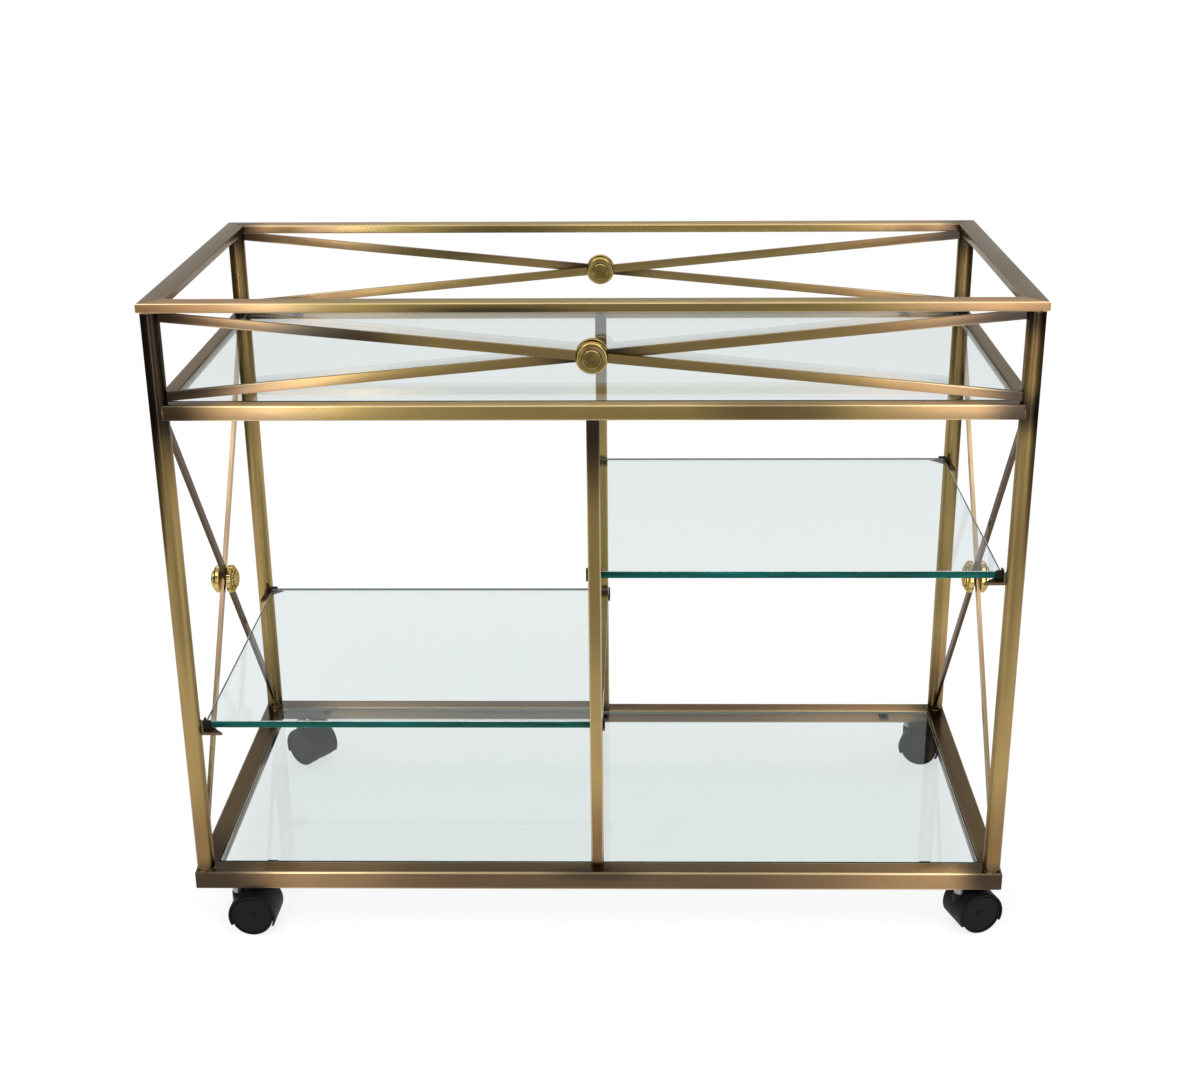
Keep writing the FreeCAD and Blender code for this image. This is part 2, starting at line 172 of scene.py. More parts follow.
    # Pinholes in the plating come in clusters, each a brown speck about a millimetre wide
    pinhole_spacing = 1.9 * mm
    cluster_spacing = 45 * mm
    dots = add(tree, "TexNoise", {"Vector": place, "W": seed, "Scale": 1 / pinhole_spacing},
               noise_dimensions="4D")
    group = add(tree, "TexNoise", {"Vector": place, "W": seed, "Scale": 1 / cluster_spacing},
                noise_dimensions="4D")
    dots = add(tree, "MapRange", {"Value": dots, "From Min": 0.68, "From Max": 0.73})
    group = add(tree, "MapRange", {"Value": group, "From Min": 0.6, "From Max": 0.67})
    pits = add(tree, "Math", {0: dots, 1: group}, operation="MULTIPLY")
    pitted = add(tree, "Math", {0: pits, 1: 0.75}, operation="MULTIPLY")
    tone = add(tree, "MixRGB", {"Fac": pitted, "Color1": tone, "Color2": linear("#342313")})

    brush_depth = 0.0015 * mm
    pinhole_depth = 0.012 * mm
    relief = add(tree, "Math", {0: brush, 1: brush_depth}, operation="MULTIPLY")
    sunk = add(tree, "Math", {0: pits, 1: pinhole_depth}, operation="MULTIPLY")
    relief = add(tree, "Math", {0: relief, 1: sunk}, operation="SUBTRACT")
    if crown:
        # Its faces bulge a little, as on an arc of the crown's radius
        local = add(tree, "Mapping", laid, vector_type="TEXTURE")
        local = add(tree, "VectorMath", {0: local, 1: (0, 1, 1)}, operation="MULTIPLY")
        bulge = add(tree, "VectorMath", {0: local, 1: local}, operation="DOT_PRODUCT").outputs["Value"]
        bulge = add(tree, "Math", {0: bulge, 1: 2 * crown}, operation="DIVIDE")
        relief = add(tree, "Math", {0: relief, 1: bulge}, operation="SUBTRACT")
    bump = add(tree, "Bump", {"Height": relief, "Strength": 1.0, "Distance": 1.0})

    rough = add(tree, "MapRange", {"Value": drift, "From Min": 0.3, "From Max": 0.7,
                                   "To Min": 0.24, "To Max": 0.36})
    dulled = add(tree, "Math", {0: pits, 1: 0.3}, operation="MULTIPLY")
    rough = add(tree, "Math", {0: rough, 1: dulled}, operation="ADD")
    normal = add(tree, "NewGeometry").outputs["Normal"]
    cross_brush = add(tree, "VectorMath", {0: normal, 1: axis}, operation="CROSS_PRODUCT")
    connect(tree, shader, {"Base Color": tone, "Metallic": 1.0, "Roughness": rough, "Normal": bump,
                           "Specular Tint": linear(sheen), "Tangent": cross_brush, "Anisotropic": 0.75,
                           "Coat Weight": 0.35, "Coat Roughness": 0.12})
    dress(piece, finish)


# One weld at each post, with its soot's reach, which is wider at some corners
def corner_welds(z, smoke_and_shade, wider={}):
    return [((x, y, z), wider.get(corner, smoke_and_shade)) for corner, (x, y) in post_places.items()]


# How far out the outer face of a front or back rail lies
def outside(rail):
    low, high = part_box(rail)
    return low.y if low.y + high.y < 0 else high.y


post_x, post_y, _ = middle("post_back_right")
post_row = {"front": -post_y, "back": post_y}
post_end = {"left": -post_x, "right": post_x}
post_places = {face + "_" + side: (post_end[side], post_row[face]) for face in faces for side in sides}
base_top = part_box("base_rail_front")[1].z
base_weld_drop = 6 * mm
base_welds = corner_welds(base_top - base_weld_drop, 46 * mm,
                          {"front_left": 105 * mm, "back_left": 105 * mm})
base_shade_patch = (75 * mm, 20 * mm, 0.6)
base_crown = 70 * mm
side_wear_and_glint = 0.2
for face in faces:
    rail = "base_rail_" + face
    # A dark patch where the centre post stands on the rail: painted shade
    shade_patches = [((0, outside(rail), base_top), *base_shade_patch)]
    antique_brass(rail, along_cart, "#5C4732", "#AC885E", base_welds, warm_from=0.3, crown=base_crown,
                  wear_and_glint=0.8, shade_patches=shade_patches)
# The side rails are painted darker than the front and back ones: painted shade
for side in sides:
    antique_brass("base_rail_" + side, across_cart, "#5E4A30", "#684F34", base_welds, crown=base_crown,
                  wear_and_glint=side_wear_and_glint)

# Corner posts: four round tubes that stand on the base frame and carry the top frame.
# The same brushed and browned brass, smoked dark by the welds at foot, tray and head; on the front
# left one a long dark patch down from the head is a painted dark reflection.
upright = Vector((0, 0, 1))
tray_z = middle("tray_rail_front").z
top_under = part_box("top_rail_front")[0].z
dark_reflection_z = 640 * mm
dark_reflection_reach = 130 * mm
corners = list(post_places)
for corner in corners:
    x, y, _ = middle("post_" + corner)
    post_dark_spots = [((x, y, base_top), 20 * mm), ((x, y, tray_z), 32 * mm), ((x, y, top_under), 36 * mm)]
    # The front left post's long dark patch from the head down is a painted dark reflection
    if corner == "front_left":
        post_dark_spots.append(((x, y, dark_reflection_z), dark_reflection_reach))
    antique_brass("post_" + corner, upright, "#A68B54", "#84643A", post_dark_spots, warm_from=0.6)

# Tray frame: four square tubes coped to the posts and welded to them, level all round.
# They hold the tray's glass, flush with their tops, and are finished with the rest of the frame.
tray_welds = corner_welds(tray_z, 52 * mm, {"front_left": 72 * mm, "back_left": 72 * mm})
tray_shade_x = 185 * mm
tray_shade_patch = (110 * mm, 25 * mm, 0.5)
tray_crown = 60 * mm
for face in faces:
    rail = "tray_rail_" + face
    # A dark patch along the rail: a painted dark reflection
    shade_patches = [((tray_shade_x, outside(rail), tray_z), *tray_shade_patch)]
    antique_brass(rail, along_cart, "#A48C54", "#A6825A", tray_welds, crown=tray_crown, shade_patches=shade_patches)
# The side rails are painted darker than the front and back ones: painted shade
for side in sides:
    antique_brass("tray_rail_" + side, across_cart, "#68563E", "#6E5840", tray_welds, crown=tray_crown,
                  wear_and_glint=side_wear_and_glint)

# Top frame: four flat rectangular tubes, mitred at the corners and welded to the posts' heads.
# The corners are filed flush, so only a change of brushing shows where two tubes meet.
# The front rail is painted darker than the back one: lit and shaded copies of one brass, the front a
# painted dark reflection
top_lit_and_shaded_tones = {"front": "#8C7844", "back": "#A08A50"}
top_welds = {"front": (), "back": corner_welds(top_under, 42 * mm)}
top_shade_x = {"front": -95 * mm, "back": -115 * mm}
top_shade_patch = {"front": (130 * mm, 10 * mm, 0.8), "back": (130 * mm, 16 * mm, 0.6)}
top_crown = 40 * mm
for face in faces:
    rail = "top_rail_" + face
    low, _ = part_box(rail)
    # A dark patch low on the rail's face: a painted dark reflection
    shade_patches = [((top_shade_x[face], low.y, low.z), *top_shade_patch[face])]
    antique_brass(rail, along_cart, top_lit_and_shaded_tones[face], "#A87E58", top_welds[face], crown=top_crown,
                  shade_patches=shade_patches)
# The side rails are painted darker than the front and back ones: painted shade
for side in sides:
    antique_brass("top_rail_" + side, across_cart, "#645342", "#6A5644", (), crown=top_crown,
                  wear_and_glint=side_wear_and_glint)

# Centre posts: two slim rectangular tubes between the base frame and the tray frame.
# Welded at both ends, front and back, where the half shelves meet.
centre_crown = 60 * mm
for face in faces:
    x, y, _ = middle("centre_post_" + face)
    # At the tray the long dark reach is weld smoke and a painted dark reflection
    centre_dark_spots = [((x, y, base_top), 16 * mm), ((x, y, tray_z), 105 * mm)]
    antique_brass("centre_post_" + face, upright, "#A48C54", "#74563A", centre_dark_spots, crown=centre_crown)

# Crossed flat bars: plated steel strip, in pairs that cross flat on each other under a rosette.
# The gallery's bars lie along the cart and the end bars stand between the posts; where one of the
# gallery's bars passes behind the other it is painted nearly black round the crossing: partly old dip
# the polishing wheel couldn't reach, partly painted shade between the bars.
layers = ("outer", "inner")
behind = {"front": "inner", "back": "outer"}
bar_crown = 28 * mm
gallery_foot = tray_z + 15 * mm
gallery_dark_spots = corner_welds(top_under, 66 * mm, {"front_right": 100 * mm})
# At the front left foot the longer dark reach is painted shade that dims the left lamp's reflection
gallery_dark_spots += corner_welds(gallery_foot, 62 * mm, {"front_left": 130 * mm})
gallery_shade_x = {"front": -250 * mm, "back": -195 * mm}
gallery_shade_rise = 22 * mm
gallery_shade_patch = {"front": (105 * mm, 40 * mm, 0.9), "back": (105 * mm, 40 * mm, 0.6)}
# Round the crossing the bar behind is painted nearly black: painted shade between the bars, with some old
# dip
crossing_shade = 62 * mm
for face in faces:
    crossing = middle(face + "_rosettes")
    # A dark patch on the outer bar: a painted dark reflection
    shaded_place = (gallery_shade_x[face], crossing.y, crossing.z + gallery_shade_rise)
    for layer in layers:
        low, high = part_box(face + "_brace_" + layer)
        rise = (high.z - low.z) if layer == "inner" else (low.z - high.z)
        dark_spots = gallery_dark_spots + [(crossing, crossing_shade)] if layer == behind[face] else gallery_dark_spots
        shade_patches = [(shaded_place, *gallery_shade_patch[face])] if layer == "outer" else ()
        antique_brass(face + "_brace_" + layer, Vector((high.x - low.x, 0, rise)), "#8E7848", "#A67F5A",
                      dark_spots, warm_from=0.45, crown=bar_crown, shade_patches=shade_patches)
end_foot = base_top + 20 * mm
end_welds = corner_welds(end_foot, 30 * mm) + corner_welds(tray_z, 34 * mm)
# The outer end bars are painted bright and the inner ones dark, also in their sheen: lit and shaded
# copies of one brass, a painted highlight and painted shade
end_lit_and_shaded_tones = {"outer": ("#C6AA84", "#8E7050"), "inner": ("#4E4232", "#524432")}
end_lit_and_shaded_sheens = {"outer": "#D4CCBE", "inner": "#A6947A"}
for side in sides:
    for layer in layers:
        low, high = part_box(side + "_brace_" + layer)
        lean = (high.y - low.y) if layer == "outer" else (low.y - high.y)
        antique_brass(side + "_brace_" + layer, Vector((0, lean, high.z - low.z)), *end_lit_and_shaded_tones[layer],
                      end_welds, crown=bar_crown, sheen=end_lit_and_shaded_sheens[layer])


# Rosettes: stepped bosses turned from solid brass, screwed together in pairs through each crossing.
# Polished on the lathe, so the light runs round them. Inside the steps they are painted dark: painted
# shade, with some old polish. The flat faces are painted darker than the rounded edges, the button's
# most: painted shade.
button_radius = 9.6 * mm
step_radius = 13.0 * mm


def turned_brass(piece, axis):
    finish, tree, shader = new_finish("turned_brass_" + piece)
    place = add(tree, "TexCoord").outputs["Object"]
    local = add(tree, "Mapping", {"Vector": place, "Location": middle(piece)}, vector_type="TEXTURE")
    flat = add(tree, "VectorMath", {0: local, 1: Vector((1, 1, 1)) - axis}, operation="MULTIPLY")
    radius = add(tree, "VectorMath", {0: flat}, operation="LENGTH").outputs["Value"]
    # Lathe rings are drawn about five times too coarse, so that they show
    ring_spacing = 1.2 * mm
    turns = add(tree, "Math", {0: radius, 1: ring_spacing}, operation="DIVIDE")
    rings = add(tree, "TexNoise", {"W": turns, "Scale": 1.0, "Detail": 2.0}, noise_dimensions="1D")
    patch_size = 11 * mm
    tarnish = add(tree, "TexNoise", {"Vector": local, "Scale": 1 / patch_size, "Detail": 2.0})
    tone = add(tree, "ValToRGB", {"Fac": tarnish},
               stops=[(0.3, "#B0924C"), (0.5, "#C8AC68"), (0.7, "#DCC690")])

    # A face is flat where it looks along the axis
    darkest_within = 8 * mm
    normal = add(tree, "NewGeometry").outputs["Normal"]
    facing = add(tree, "VectorMath", {0: normal, 1: axis}, operation="DOT_PRODUCT").outputs["Value"]
    facing = add(tree, "Math", {0: facing}, operation="ABSOLUTE")
    flatness = add(tree, "MapRange", {"Value": facing, "From Min": 0.85, "From Max": 0.985})
    # The flat faces are painted darker, most towards the middle: painted shade
    dulled = add(tree, "MapRange", {"Value": radius, "From Min": darkest_within, "From Max": step_radius,
                                    "To Min": 0.9, "To Max": 0.45})
    dulled = add(tree, "Math", {0: flatness, 1: dulled}, operation="MULTIPLY")
    flat_shade_tone = add(tree, "ValToRGB", {"Fac": tarnish}, stops=[(0.38, "#62522A"), (0.62, "#84723E")])
    tone = add(tree, "MixRGB", {"Fac": dulled, "Color1": tone, "Color2": flat_shade_tone})
    bright = add(tree, "MapRange", {"Value": rings, "From Min": 0.4, "From Max": 0.7,
                                    "To Min": 0.0, "To Max": 0.14})
    tone = add(tree, "MixRGB", {"Fac": bright, "Color1": tone, "Color2": linear("#EAD79C")})

    # Painted shade, with some old polish, darkens the inner corner just outside each step
    corner_offset = 0.5 * mm
    corner_width = 0.6 * mm
    for step in (step_radius, button_radius):
        gap = add(tree, "Math", {0: radius, 1: step + corner_offset}, operation="SUBTRACT")
        gap = add(tree, "Math", {0: gap}, operation="ABSOLUTE")
        corner_shade = add(tree, "MapRange", {"Value": gap, "From Min": 0.0, "From Max": corner_width,
                                       "To Min": 0.6, "To Max": 0.0})
        tone = add(tree, "MixRGB", {"Fac": corner_shade, "Color1": tone, "Color2": linear("#4A3517")})

    bump = add(tree, "Bump", {"Height": rings, "Strength": 0.35, "Distance": 0.02 * mm})
    rough = add(tree, "MapRange", {"Value": tarnish, "From Min": 0.3, "From Max": 0.7,
                                   "To Min": 0.2, "To Max": 0.12})
    round_way = add(tree, "VectorMath", {0: axis, 1: flat}, operation="CROSS_PRODUCT")
    outward = add(tree, "VectorMath", {0: normal, 1: round_way}, operation="CROSS_PRODUCT")
    connect(tree, shader, {"Base Color": tone, "Metallic": 1.0, "Roughness": rough, "Normal": bump,
                           "Specular Tint": linear("#E0D0B0"), "Tangent": outward, "Anisotropic": 0.5})
    dress(piece, finish)


for face in faces:
    turned_brass(face + "_rosettes", across_cart)
for side in sides:
    turned_brass(side + "_rosettes", along_cart)


# Studs, caster stems, their sockets and axles: turned steel, zinc plated.
# A cool grey with a cloudy bloom and fine lines round the bar; almost all of it is out of sight.
def zinc_plated_steel():
    finish, tree, shader = new_finish("zinc_plated_steel")
    place = add(tree, "TexCoord").outputs["Object"]
    bloom = add(tree, "TexNoise", {"Vector": place, "Scale": 1 / (4 * mm), "Detail": 4.0})
    tone = add(tree, "ValToRGB", {"Fac": bloom},
               stops=[(0.3, "#77787A"), (0.5, "#9B9C9B"), (0.7, "#B4B3AC")])
    laid = add(tree, "Mapping", {"Vector": place, "Scale": (5 * mm, 5 * mm, 0.4 * mm)},
               vector_type="TEXTURE")
    lines = add(tree, "TexNoise", {"Vector": laid, "Scale": 1.0})
    bump = add(tree, "Bump", {"Height": lines, "Strength": 0.4, "Distance": 0.02 * mm})
    rough = add(tree, "MapRange", {"Value": bloom, "To Min": 0.28, "To Max": 0.5})
    connect(tree, shader, {"Base Color": tone, "Metallic": 1.0, "Roughness": rough, "Normal": bump})
    return finish


zinc = zinc_plated_steel()
axles = [corner + "_caster_axle" for corner in corners]
for piece in ["rosette_studs", "caster_sockets", "caster_stems"] + axles:
    dress(piece, zinc)


# Weld beads: a thin ring of filler where each post meets the base frame and the top frame, a square
# seam at each centre post's foot, and a short run where the front and back tray rails meet the posts.
# Left as laid, so rippled, brown and darker than the tubes.
def welded_seam():
    finish, tree, shader = new_finish("welded_seam")
    place = add(tree, "TexCoord").outputs["Object"]
    ripple = add(tree, "TexNoise", {"Vector": place, "Scale": 1 / (1.5 * mm), "Detail": 2.0})
    scale = add(tree, "TexNoise", {"Vector": place, "Scale": 1 / (6 * mm), "Detail": 3.0})
    tone = add(tree, "ValToRGB", {"Fac": scale},
               stops=[(0.35, "#3A2A1A"), (0.5, "#6E5636"), (0.68, "#A88C60")])
    rough = add(tree, "MapRange", {"Value": ripple, "To Min": 0.25, "To Max": 0.5})
    bump = add(tree, "Bump", {"Height": ripple, "Strength": 0.8, "Distance": 0.2 * mm})
    connect(tree, shader, {"Base Color": tone, "Metallic": 1.0, "Roughness": rough, "Normal": bump})
    return finish


def new_object(name, shape, finish):
    mesh = bpy.data.meshes.new(name)
    shape.to_mesh(mesh)
    shape.free()
    mesh.materials.append(finish)
    made = bpy.data.objects.new(name, mesh)
    bpy.context.scene.collection.objects.link(made)
    return made


def set_piece(name, shape, finish, body):
    bmesh.ops.recalc_face_normals(shape, faces=shape.faces)
    piece = new_object(name, shape, finish)
    piece.data.shade_smooth()
    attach(piece, body)


seam = welded_seam()
bead = 1.0 * mm
low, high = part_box("post_back_right")
post_radius = (high.x - low.x) / 2
stood_up = Matrix.Rotation(math.pi / 2, 3, "X")
for corner in corners:
    post = middle("post_" + corner)
    for level, z in (("foot", base_top), ("head", top_under)):
        ring = bmesh.new()
        bmesh.ops.create_circle(ring, segments=10, radius=bead)
        bmesh.ops.rotate(ring, cent=(0, 0, 0), matrix=stood_up, verts=ring.verts)
        bmesh.ops.translate(ring, vec=(post_radius, 0, 0), verts=ring.verts)
        bmesh.ops.spin(ring, geom=ring.edges[:], cent=(0, 0, 0), axis=upright, angle=math.tau,
                       steps=48, use_merge=True)
        bmesh.ops.translate(ring, vec=(post.x, post.y, z), verts=ring.verts)
        set_piece("post_" + level + "_weld_" + corner, ring, seam, "frame")
seam_round = 0.4 * mm
for face in faces:
    post = middle("centre_post_" + face)
    low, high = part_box("centre_post_" + face)
    square = bmesh.new()
    bmesh.ops.create_grid(square, x_segments=1, y_segments=1, size=0.5)
    bmesh.ops.scale(square, vec=(high.x - low.x, high.y - low.y, 1), verts=square.verts)
    bmesh.ops.translate(square, vec=(post.x, post.y, base_top), verts=square.verts)
    bmesh.ops.wireframe(square, faces=square.faces[:], thickness=bead, use_boundary=True,
                        use_even_offset=True, use_replace=True)
    bmesh.ops.bevel(square, geom=square.edges[:], offset=seam_round, offset_type="OFFSET", segments=2,
                    profile=0.5, affect="EDGES", material=-1)
    set_piece("centre_post_foot_weld_" + face, square, seam, "frame")
run_stretch = (1.3, 1.3, 7)
for face in faces:
    y = outside("tray_rail_" + face)
    aside = math.sqrt(post_radius ** 2 - (abs(y) - post_y) ** 2)
    for side, x in (("left", aside - post_x), ("right", post_x - aside)):
        run = bmesh.new()
        bmesh.ops.create_uvsphere(run, u_segments=16, v_segments=12, radius=bead)
        bmesh.ops.scale(run, vec=run_stretch, verts=run.verts)
        bmesh.ops.translate(run, vec=(x, y, tray_z), verts=run.verts)
        set_piece("tray_weld_" + face + "_" + side, run, seam, "frame")


# Glass: four loose panes of 8 mm float glass with ground edges, two set into the frame and two half
# shelves. Clear, with a faint grey-green cast and smears of old polish that only dull its shine. The
# ground edges are opaque: deep teal from outside, and a dull grey-olive seen from within the sheet.
def float_glass():
    finish, tree, shader = new_finish("float_glass")
    place = add(tree, "TexCoord").outputs["Object"]
    smears = add(tree, "TexNoise", {"Vector": place, "Scale": 1 / (60 * mm), "Detail": 5.0,
                                    "Roughness": 0.65})
    rough = add(tree, "MapRange", {"Value": smears, "From Min": 0.55, "From Max": 0.8,
                                   "To Min": 0.0, "To Max": 0.04})
    connect(tree, shader, {"Base Color": linear("#EBEFEF"), "Roughness": rough, "IOR": 1.33,
                           "Transmission Weight": 1.0})

    laid = add(tree, "Mapping", {"Vector": place, "Scale": (80 * mm, 80 * mm, 5 * mm)},
               vector_type="TEXTURE")
    depth = add(tree, "TexNoise", {"Vector": laid, "Scale": 1.0, "Detail": 4.0, "Roughness": 0.6})
    tone = add(tree, "ValToRGB", {"Fac": depth},
               stops=[(0.32, "#083834"), (0.45, "#0A5048"), (0.58, "#0A5E56"), (0.74, "#1A766E")])
    side = add(tree, "NewGeometry")
    tone = add(tree, "MixRGB", {"Fac": side.outputs["Backfacing"], "Color1": tone,
                                "Color2": linear("#7E8076")})
    rough = add(tree, "MapRange", {"Value": depth, "To Min": 0.15, "To Max": 0.35})
    ground = add(tree, "BsdfPrincipled", {"Base Color": tone, "Roughness": rough,
                                          "Specular IOR Level": 0.15})
    level = add(tree, "VectorMath", {0: side.outputs["True Normal"], 1: upright}, operation="DOT_PRODUCT")
    level = add(tree, "Math", {0: level.outputs["Value"]}, operation="ABSOLUTE")
    edge = add(tree, "MapRange", {"Value": level, "From Min": 0.3, "From Max": 0.6,
                                  "To Min": 1.0, "To Max": 0.0})
    pane = add(tree, "MixShader", {0: edge, 1: shader, 2: ground})

    clear = add(tree, "BsdfTransparent", {"Color": (0.95, 0.97, 0.97, 1)})
    path = add(tree, "LightPath")
    lit_through = add(tree, "MixShader", {0: path.outputs["Is Shadow Ray"], 1: pane, 2: clear})
    green = add(tree, "VolumeAbsorption", {"Color": (0.0, 0.7, 0.68, 1), "Density": 3.5})
    connect(tree, tree.nodes["Material Output"], {"Surface": lit_through, "Volume": green})
    return finish


glass = float_glass()
for pane in ("tray_glass", "base_glass", "left_shelf_glass", "right_shelf_glass"):
    dress(pane, glass)


# Front arrises: on the shelves this edge is ground but not polished after cutting.
# It catches the light as a fine white line above the teal.
def frosted_arris():
    finish, tree, shader = new_finish("frosted_arris")
    place = add(tree, "TexCoord").outputs["Object"]
    chips = add(tree, "TexNoise", {"Vector": place, "Scale": 1 / (4 * mm), "Detail": 4.0})
    tone = add(tree, "ValToRGB", {"Fac": chips}, stops=[(0.35, "#C4DAD6"), (0.6, "#F2F6F5")])
    rough = add(tree, "MapRange", {"Value": chips, "To Min": 0.35, "To Max": 0.6})
    connect(tree, shader, {"Base Color": tone, "Roughness": rough})
    return finish


frosted = frosted_arris()
glass_corner = 3 * mm
arris = 0.5 * mm
arris_face = 1.4 * arris
arris_middle = 0.4 * arris
frosting = 0.1 * mm
leaned = Matrix.Rotation(math.pi / 4, 3, "X")
for shelf in ("left_shelf", "right_shelf"):
    pane = middle(shelf + "_glass")
    low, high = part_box(shelf + "_glass")
    strip = bmesh.new()
    bmesh.ops.create_cube(strip, size=1)
    length = high.x - low.x - 2 * glass_corner
    bmesh.ops.scale(strip, vec=(length, arris_face, frosting), verts=strip.verts)
    bmesh.ops.rotate(strip, cent=(0, 0, 0), matrix=leaned, verts=strip.verts)
    bmesh.ops.translate(strip, vec=(pane.x, low.y + arris_middle, high.z - arris_middle),
                        verts=strip.verts)
    set_piece(shelf + "_arris", strip, frosted, shelf)

# Tabs under the glass: small pieces of steel strip welded to the rails and posts.
# Plated and browned with the frame, but never polished, so they stay a dull dark brown.
for piece in ("tray_glass_clips", "base_glass_clips", "shelf_brackets"):
    antique_brass(piece, along_cart, "#5C4632", "#5C4632", ())


# Bumpers and stops: small black rubber pads that keep the glass off the metal.
# Dull, with a little grey bloom and dust caught in the skin.
def black_rubber():
    finish, tree, shader = new_finish("black_rubber")
    place = add(tree, "TexCoord").outputs["Object"]
    bloom = add(tree, "TexNoise", {"Vector": place, "Scale": 1 / (3 * mm), "Detail": 4.0})
    tone = add(tree, "ValToRGB", {"Fac": bloom}, stops=[(0.35, "#100F0F"), (0.75, "#262422")])
    rough = add(tree, "MapRange", {"Value": bloom, "To Min": 0.6, "To Max": 0.8})
    bump = add(tree, "Bump", {"Height": bloom, "Strength": 0.5, "Distance": 0.1 * mm})
    connect(tree, shader, {"Base Color": tone, "Roughness": rough, "Specular IOR Level": 0.3,
                           "Normal": bump})
    return finish


rubber = black_rubber()
for piece in ("tray_glass_bumpers", "base_glass_bumpers", "shelf_stops"):
    dress(piece, rubber)


# Casters: hoods and twin wheels moulded in black nylon, each pair of wheels on a steel axle.
# A fine spark-eroded skin, matt and nearly black, with faint grey scuffs where the wheels have run.
def moulded_nylon():
    finish, tree, shader = new_finish("moulded_black_nylon")
    place = add(tree, "TexCoord").outputs["Object"]
    skin = add(tree, "TexNoise", {"Vector": place, "Scale": 1 / (0.8 * mm), "Detail": 2.0})
    scuffs = add(tree, "TexNoise", {"Vector": place, "Scale": 1 / (7 * mm), "Detail": 6.0,
                                    "Roughness": 0.7, "Distortion": 1.5})
    marks = add(tree, "MapRange", {"Value": scuffs, "From Min": 0.56, "From Max": 0.74,
                                   "To Min": 0.0, "To Max": 0.6})
    tone = add(tree, "MixRGB", {"Fac": marks, "Color1": linear("#0E0D0E"), "Color2": linear("#2C292A")})
    bump = add(tree, "Bump", {"Height": skin, "Strength": 0.5, "Distance": 0.12 * mm})
    rough = add(tree, "MapRange", {"Value": scuffs, "From Min": 0.3, "From Max": 0.7,
                                   "To Min": 0.42, "To Max": 0.65})
    connect(tree, shader, {"Base Color": tone, "Roughness": rough, "IOR": 1.53,
                           "Specular IOR Level": 0.14, "Normal": bump})
    return finish


nylon = moulded_nylon()
for corner in corners:
    for piece in ("_caster_hood", "_wheel_a", "_wheel_b"):
        dress(corner + piece, nylon)


# Floor: a wide sheet of white paper under the cart, which fades to white and keeps the cart's shadow.
# Its glow reaches only the camera and what metal and glass show, so it doesn't light the cart.
def stage_sheet(name, size, matrix, finish):
    shape = bmesh.new()
    bmesh.ops.create_grid(shape, x_segments=1, y_segments=1, size=0.5)
    bmesh.ops.scale(shape, vec=(size[0], size[1], 1), verts=shape.verts)
    bmesh.ops.transform(shape, matrix=matrix, verts=shape.verts)
    sheet = new_object(name, shape, finish)
    return sheet


def white_paper():
    finish, tree, shader = new_finish("white_paper")
    tree.nodes.remove(shader)
    path = add(tree, "LightPath")
    seen = add(tree, "Math", {0: path.outputs["Is Camera Ray"], 1: path.outputs["Is Glossy Ray"]},
               operation="MAXIMUM")
    seen = add(tree, "Math", {0: seen, 1: path.outputs["Is Transmission Ray"]}, operation="MAXIMUM")
    glow = add(tree, "MapRange", {"Value": seen, "To Min": 0.0, "To Max": 0.8})
    glow = add(tree, "Emission", {"Color": (1, 1, 1, 1), "Strength": glow})
    matt = add(tree, "BsdfDiffuse", {"Color": (0.25, 0.25, 0.25, 1)})
    paper = add(tree, "AddShader", {0: matt, 1: glow})
    connect(tree, tree.nodes["Material Output"], {"Surface": paper})
    return finish


laid_flat = Matrix.Identity(4)
floor_size = (60, 60)
stage_sheet("floor", floor_size, laid_flat, white_paper())


# Cards: grey boards around the cart that only its metal and glass see. The front one is brightest in
# the middle and the one on the floor before it dimmest there, those at the sides darken the tubes'
# outlines, and all thin out towards their borders, so that the glass mirrors no hard edge.
def grey_board(name, size, place, turn, levels):
    finish, tree, shader = new_finish(name)
    tree.nodes.remove(shader)
    spot = add(tree, "TexCoord").outputs["Object"]
    spot = add(tree, "Mapping", {"Vector": spot, "Location": place, "Rotation": turn.to_euler(),
                                 "Scale": (size[0] / 2, size[1] / 2, 1)}, vector_type="TEXTURE")
    spot = add(tree, "VectorMath", {0: spot}, operation="ABSOLUTE")
    off = add(tree, "SeparateXYZ", {0: spot})
    level = add(tree, "MapRange", {"Value": off.outputs["X"], "From Min": 0.03, "From Max": 0.2,
                                   "To Min": levels[0], "To Max": levels[1]},
                interpolation_type="SMOOTHSTEP")
    glow = add(tree, "Emission", {"Color": (1, 1, 1, 1), "Strength": level})
    border = add(tree, "Math", {0: off.outputs["X"], 1: off.outputs["Y"]}, operation="MAXIMUM")
    thin = add(tree, "MapRange", {"Value": border, "From Min": 0.7, "From Max": 1.0},
               interpolation_type="SMOOTHSTEP")
    clear = add(tree, "BsdfTransparent")
    card = add(tree, "MixShader", {0: thin, 1: glow, 2: clear})
    connect(tree, tree.nodes["Material Output"], {"Surface": card})
    board = stage_sheet(name, size, Matrix.Translation(place) @ turn, finish)
    board.visible_camera = False
    board.visible_diffuse = False
    board.visible_transmission = False
    board.visible_shadow = False


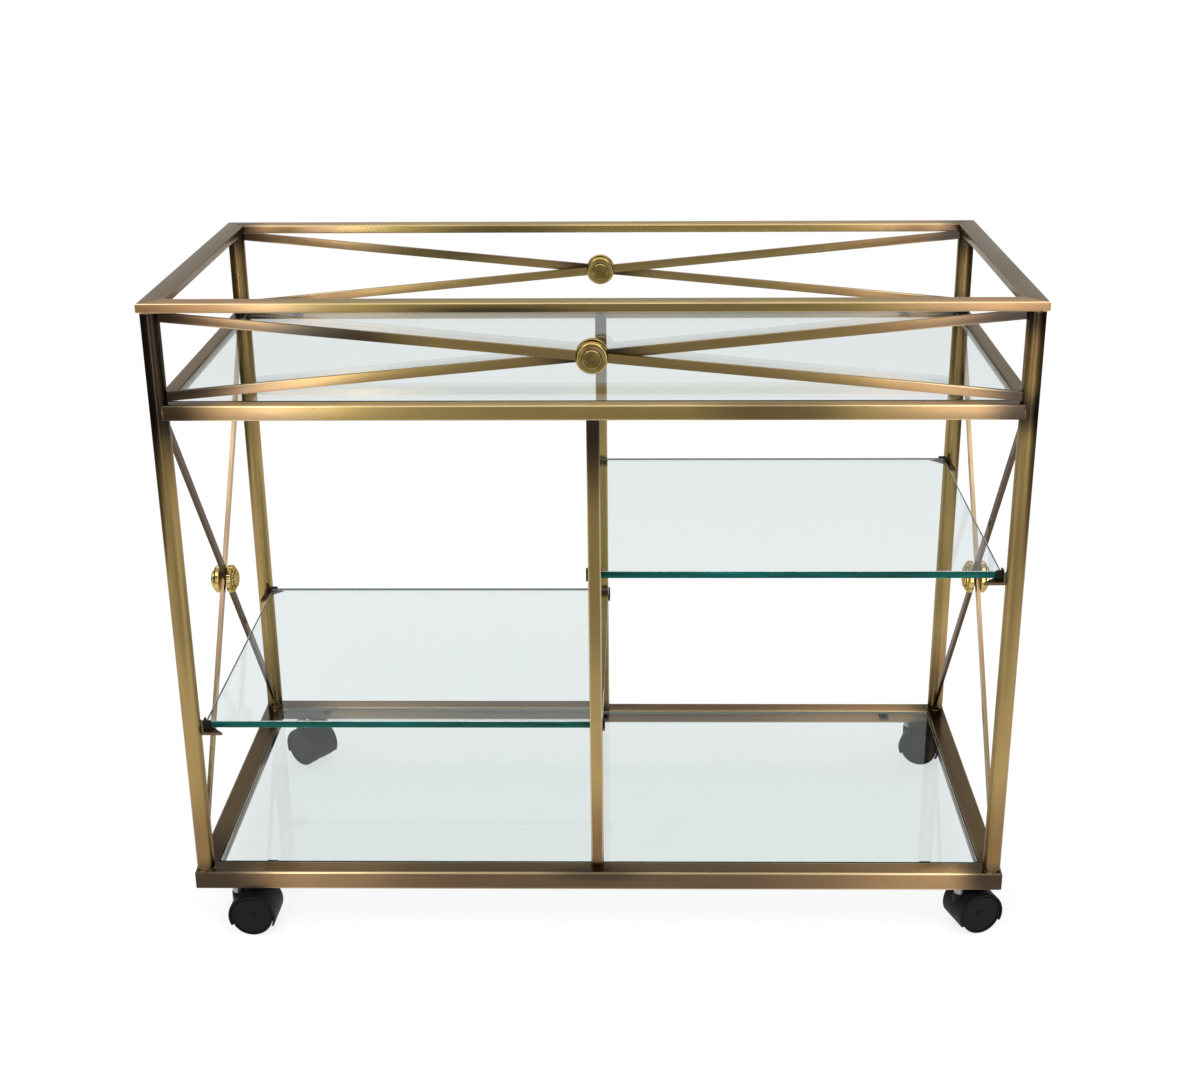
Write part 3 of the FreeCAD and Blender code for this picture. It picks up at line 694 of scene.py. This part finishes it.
stood = Matrix.Rotation(math.pi / 2, 4, "X")
sideways = Matrix.Rotation(math.pi / 2, 4, "Z") @ stood
grey_board("front_board", (6, 3.4), (0, -2.4, 0.9), stood, (0.58, 0.38))
grey_board("front_floor_board", (6, 2.0), (0, -1.7, 2 * mm), laid_flat, (0.4, 0.7))
grey_board("left_front_board", (2.8, 3.4), (-1.9, -2.1, 0.9), stood, (0.05, 0.05))
grey_board("left_floor_board", (2.8, 1.3), (-1.9, -1.95, 4 * mm), laid_flat, (0.05, 0.05))
grey_board("left_board", (3.4, 3.0), (-1.5, 0.1, 0.6), sideways, (0.08, 0.08))
grey_board("right_board", (3.4, 3.0), (1.5, 0.1, 0.6), sideways, (0.08, 0.08))

# Light: a white surround, two tall lamps in front of the cart, a wide one above and one high behind.
# The surround is white where the camera looks, and dimmer where metal and glass mirror it.
world = bpy.data.worlds.new("white_surround")
bpy.context.scene.world = world
world.use_nodes = True
surround = world.node_tree
path = add(surround, "LightPath")
level = add(surround, "MapRange", {"Value": path.outputs["Is Glossy Ray"], "To Min": 1.0, "To Max": 0.7})
level = add(surround, "MapRange", {"Value": path.outputs["Is Diffuse Ray"], "To Min": level,
                                   "To Max": 0.8})
connect(surround, surround.nodes["Background"], {"Color": (1, 1, 1, 1), "Strength": level})


def soft_lamp(name, size, place, aim, watts):
    lamp = bpy.data.lights.new(name, "AREA")
    lamp.shape = "RECTANGLE"
    lamp.size, lamp.size_y = size
    lamp.energy = watts
    stand = bpy.data.objects.new(name, lamp)
    stand.location = place
    stand.rotation_euler = (Vector(aim) - Vector(place)).to_track_quat("-Z", "Y").to_euler()
    stand.visible_transmission = False
    bpy.context.scene.collection.objects.link(stand)
    return lamp


# A tall lamp's cloth is brightest along its middle and fades to its sides, so its mirror image is soft
def tall_lamp(name, size, place, aim, watts):
    lamp = soft_lamp(name, size, place, aim, watts)
    lamp.use_nodes = True
    cloth = lamp.node_tree
    across = add(cloth, "SeparateXYZ", {0: add(cloth, "TexCoord").outputs["UV"]})
    aside = add(cloth, "Math", {0: across.outputs["X"], 1: 0.5}, operation="SUBTRACT")
    aside = add(cloth, "Math", {0: aside}, operation="ABSOLUTE")
    glow = add(cloth, "MapRange", {"Value": aside, "From Min": 0.05, "From Max": 0.5,
                                   "To Min": 1.0, "To Max": 0.0}, interpolation_type="SMOOTHSTEP")
    connect(cloth, cloth.nodes["Emission"], {"Strength": glow})


tall_lamp("left_lamp", (0.26, 1.6), (-0.67, -1.8, 0.8), (-0.3, 0, 0.5), 11.3)
tall_lamp("right_lamp", (0.47, 1.6), (0.71, -1.8, 0.8), (0.3, 0, 0.5), 8.4)
soft_lamp("top_lamp", (2.4, 1.0), (0, -0.9, 2.0), (0, -0.1, 0.4), 12)
soft_lamp("back_lamp", (2.0, 0.5), (0, 1.5, 1.9), (0, 0, 0.5), 6)

# Camera: at the height and distance that give the photograph's perspective, a little right of centre.
# The small shift sets the cart where the photograph's frame has it.
camera = bpy.data.cameras.new("camera")
camera.sensor_fit = "HORIZONTAL"
camera.sensor_width = 36
camera.lens = 52.011
camera.shift_x = -0.01975
camera.shift_y = -0.02938
eye = (0.04744, -1.82472, 1.11445)
pan = math.radians(0.8682)
tilt = math.radians(90 - 20.5386)
roll = math.radians(-0.3505)
viewer = bpy.data.objects.new("camera", camera)
viewer.matrix_world = (Matrix.Translation(eye) @ Matrix.Rotation(pan, 4, "Z")
                       @ Matrix.Rotation(tilt, 4, "X") @ Matrix.Rotation(roll, 4, "Z"))
bpy.context.scene.collection.objects.link(viewer)
bpy.context.scene.camera = viewer
bpy.context.scene.view_settings.view_transform = "Standard"
